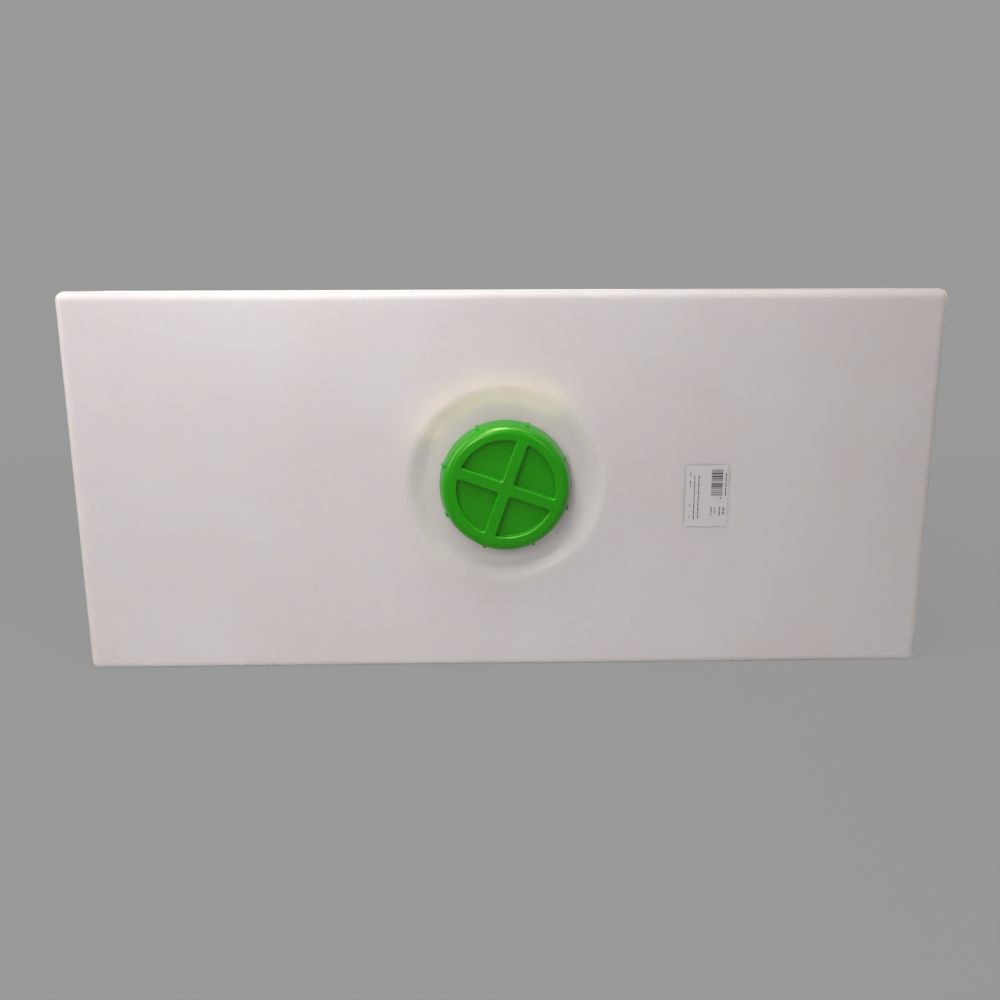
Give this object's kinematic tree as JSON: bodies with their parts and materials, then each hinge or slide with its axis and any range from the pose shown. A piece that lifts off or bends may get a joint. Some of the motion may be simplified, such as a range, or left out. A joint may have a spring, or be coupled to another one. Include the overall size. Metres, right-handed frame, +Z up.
{
  "type": "water tank with screw lid",
  "caption": "Rectangular moulded polyethylene fresh-water tank on its long side, with a green screw lid in a round dished recess of its front wall.",
  "frame": {"origin": "middle of the tank's flat base", "axes": "+X along the tank's length, +Y from the lid's wall to the back wall, +Z up"},
  "size_m": [1, 0.271, 0.445],
  "materials": {
    "shell": "milky, slightly translucent, satin",
    "lid": "moulded, half gloss",
    "seal": "matt"
  },
  "bodies": {
    "tank": {"front_wall": "shell", "back_wall": "shell", "top_wall": "shell", "bottom_wall": "shell", "left_end": "shell", "right_end": "shell", "lid_recess": "shell", "filler_neck": "shell"},
    "seal": {"lid_seal": "seal"},
    "lid": {"screw_lid": "lid"}
  },
  "joints": [
    {"name": "lid_rise", "type": "slide", "parent": "tank", "child": "seal", "axis": [0, -1, 0], "range_m": [0, 0.015]},
    {"name": "lid_turn", "type": "hinge", "parent": "seal", "child": "lid", "pos_m": [0, -0.125, 0.2225], "axis": [0, -1, 0], "range_deg": [0, 540]}
  ],
  "couplings": [
    {"joint": "lid_rise", "follows": "lid_turn", "m_per_rad": 0.0015915}
  ]
}
